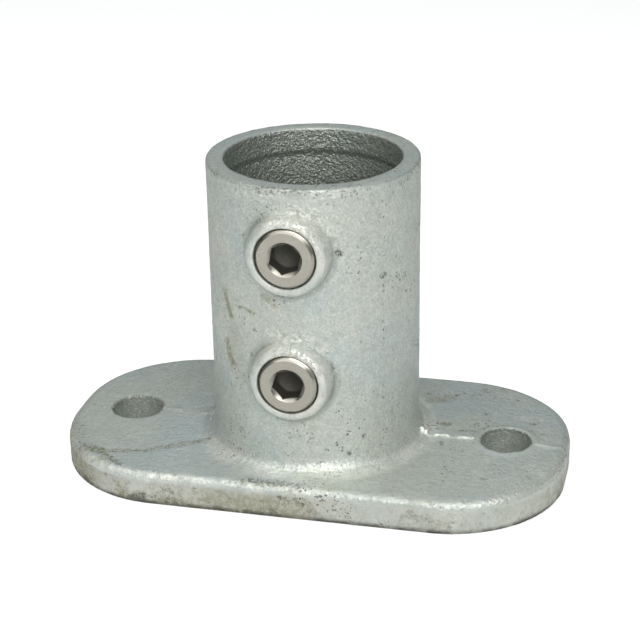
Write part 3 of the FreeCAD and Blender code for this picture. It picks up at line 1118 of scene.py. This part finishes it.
def steel_material(finishes):
    """The screws' plating, satin, with painted shade down in the socket."""
    g = Graph("screw_plating")
    place = g.node("TexCoord").outputs["Object"]
    depth = g.node("Attribute", attribute_name="depth").outputs["Fac"]
    from_axis = g.node("Attribute", attribute_name="from_axis").outputs["Fac"]
    # Painted shade: the inside of each socket, below its mouth, takes the dark socket colour.
    inside = g.times(g.band(depth, 0.3, 1.5), g.band(from_axis, 7, 6))
    cloud = g.noise(place, 300, 3)
    tone = g.painted(solid(finishes.steel), g.range(cloud, 0.3, 0.7, 0.0, 0.25), finishes.steel_dull)
    tone = g.painted(tone, g.times(inside, 0.9), finishes.socket)
    rough = g.range(cloud, 0.3, 0.7, finishes.steel_rough - 0.04, finishes.steel_rough + 0.06)
    rough = g.math("ADD", rough, g.times(inside, 0.4))
    rings = g.noise(g.node("CombineXYZ", {0: g.times(from_axis, 4000)}).outputs[0], 1.0, 2)
    bump = g.node("Bump", {"Strength": 0.12, "Distance": 0.05 * MM, "Height": rings})
    shader = g.node("BsdfPrincipled", {
        "Base Color": tone, "Metallic": 1.0, "Roughness": rough, "Normal": bump.outputs[0],
    })
    return g.finish(shader.outputs[0])


def stage_material(name, rgb, glow):
    """A matt white that the camera sees brighter, and that still takes a shadow."""
    g = Graph(name)
    seen = g.node("LightPath").outputs["Is Camera Ray"]
    matt = g.node("BsdfDiffuse", {"Color": solid(rgb)})
    light = g.node("Emission", {"Color": solid(rgb), "Strength": g.times(seen, glow)})
    return g.finish(g.node("AddShader", {0: matt.outputs[0], 1: light.outputs[0]}).outputs[0])


# Pieces


def settings():
    """The settings that the panel shows."""
    return bpy.context.scene.base_flange


def dressed(obj, material, node):
    """Gives a finished piece its material and its body, and hides the imported part that it stands in for."""
    obj.data.materials.clear()
    obj.data.materials.append(material)
    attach(obj, BODY)
    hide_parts(node)
    return obj


def mark_axis(obj, height):
    """Stores how far each point lies from a screw's axis and below its face."""
    from_axis = obj.data.attributes.new("from_axis", "FLOAT", "POINT")
    depth = obj.data.attributes.new("depth", "FLOAT", "POINT")
    for i, vert in enumerate(obj.data.vertices):
        from_axis.data[i].value = math.hypot(vert.co.x, vert.co.z - height)
        depth.data[i].value = vert.co.y + SCREW_FACE


class FLANGE_OT_casting(bpy.types.Operator):
    """Build the galvanised casting"""

    bl_idname = "flange.casting"
    bl_label = "Build casting"

    def execute(self, context):
        made = casting(settings().casting)
        dressed(made, zinc_material(settings().finishes), "flange_casting")
        return {"FINISHED"}


class FLANGE_OT_set_screws(bpy.types.Operator):
    """Build the two set screws"""

    bl_idname = "flange.set_screws"
    bl_label = "Build set screws"

    def execute(self, context):
        sizes = settings().screws
        material = steel_material(settings().finishes)
        turns = (sizes.lower_turn, sizes.upper_turn)
        for node, height, turn in zip(SCREW_BOXES, BOSS_HEIGHTS, turns):
            made = set_screw(sizes, "threaded_" + node, height, turn)
            mark_axis(made, height)
            dressed(made, material, node)
        return {"FINISHED"}


def soft_light(tint, strength):
    """A world that lights from all round, and that the camera sees as plain white."""
    world = bpy.data.worlds.new("soft_light")
    world.use_nodes = True
    g = Graph(tree=world.node_tree)
    seen = g.node("LightPath").outputs["Is Camera Ray"]
    light = g.node("Background", {"Color": solid(tint), "Strength": strength})
    white = g.node("Background", {"Color": (1, 1, 1, 1), "Strength": 1.0})
    mixed = g.node("MixShader", {0: seen, 1: light.outputs[0], 2: white.outputs[0]})
    g.node("OutputWorld", {"Surface": mixed.outputs[0]})
    return world


def facing(name, data, aim, azimuth, elevation, distance):
    """A lamp or a camera that faces a point from an azimuth and an elevation."""
    level = math.cos(elevation)
    back = Vector((math.sin(azimuth) * level, -math.cos(azimuth) * level, math.sin(elevation)))
    obj = bpy.data.objects.new(name, data)
    obj.location = aim + back * distance
    obj.rotation_mode = "QUATERNION"
    obj.rotation_quaternion = (-back).to_track_quat("-Z", "Y")
    bpy.context.scene.collection.objects.link(obj)
    return obj


def lamp(name, watts, aim):
    """One of the soft lamps, a metre off the point that it faces."""
    azimuth, elevation, sides, tint = LAMPS[name]
    data = bpy.data.lights.new(name, "AREA")
    data.shape = "RECTANGLE"
    data.size, data.size_y = sides
    data.energy = watts
    data.color = tint
    return facing(name, data, aim, math.radians(azimuth), math.radians(elevation), 1.0)


class FLANGE_OT_studio(bpy.types.Operator):
    """Build the floor, the lamps and the camera"""

    bl_idname = "flange.studio"
    bl_label = "Build studio"

    def execute(self, context):
        studio = settings().studio
        scene = context.scene
        aim = Vector((studio.aim_across, 0, studio.aim_height))

        bm = bmesh.new()
        bmesh.ops.create_grid(bm, x_segments=1, y_segments=1, size=FLOOR_REACH)
        floor = as_object(bm, "floor")
        floor.data.materials.append(stage_material("floor_white", studio.floor, studio.floor_glow))

        scene.world = soft_light(studio.ambient_tint, studio.ambient)
        for name in LAMPS:
            lamp(name, getattr(studio, name), aim)

        data = bpy.data.cameras.new("camera")
        data.sensor_width = SENSOR_WIDTH
        data.lens = studio.lens
        camera = facing("camera", data, aim, studio.azimuth, studio.elevation, studio.distance)
        camera.rotation_quaternion = camera.rotation_quaternion @ Quaternion((0, 0, 1), -studio.roll)
        scene.camera = camera

        scene.view_settings.view_transform = "Standard"
        return {"FINISHED"}


class FLANGE_PT_panel(bpy.types.Panel):
    """Sizes, finishes and building steps of the base flange"""

    bl_idname = "FLANGE_PT_panel"
    bl_label = "Base flange"
    bl_space_type = "VIEW_3D"
    bl_region_type = "UI"
    bl_category = "Base flange"

    def draw(self, context):
        for title in ("casting", "screws", "finishes", "studio"):
            box = self.layout.box()
            box.label(text=title.capitalize())
            group = getattr(context.scene.base_flange, title)
            for key in group.bl_rna.properties.keys():
                if key not in ("rna_type", "name"):
                    box.prop(group, key)
        for operator in STEPS:
            self.layout.operator(operator.bl_idname)


STEPS = (FLANGE_OT_casting, FLANGE_OT_set_screws, FLANGE_OT_studio)
GROUPS = (CastingSizes, ScrewSizes, Finishes, Studio, FlangeSettings)
CLASSES = (*GROUPS, *STEPS, FLANGE_PT_panel)


def register():
    """Registers the classes and gives the scene its settings."""
    for cls in CLASSES:
        bpy.utils.register_class(cls)
    bpy.types.Scene.base_flange = bpy.props.PointerProperty(type=FlangeSettings)


def unregister():
    """Takes back what register() did."""
    del bpy.types.Scene.base_flange
    for cls in reversed(CLASSES):
        bpy.utils.unregister_class(cls)


def main():
    """Builds everything."""
    register()
    bpy.ops.flange.casting()
    bpy.ops.flange.set_screws()
    bpy.ops.flange.studio()


if __name__ == "__main__":
    main()
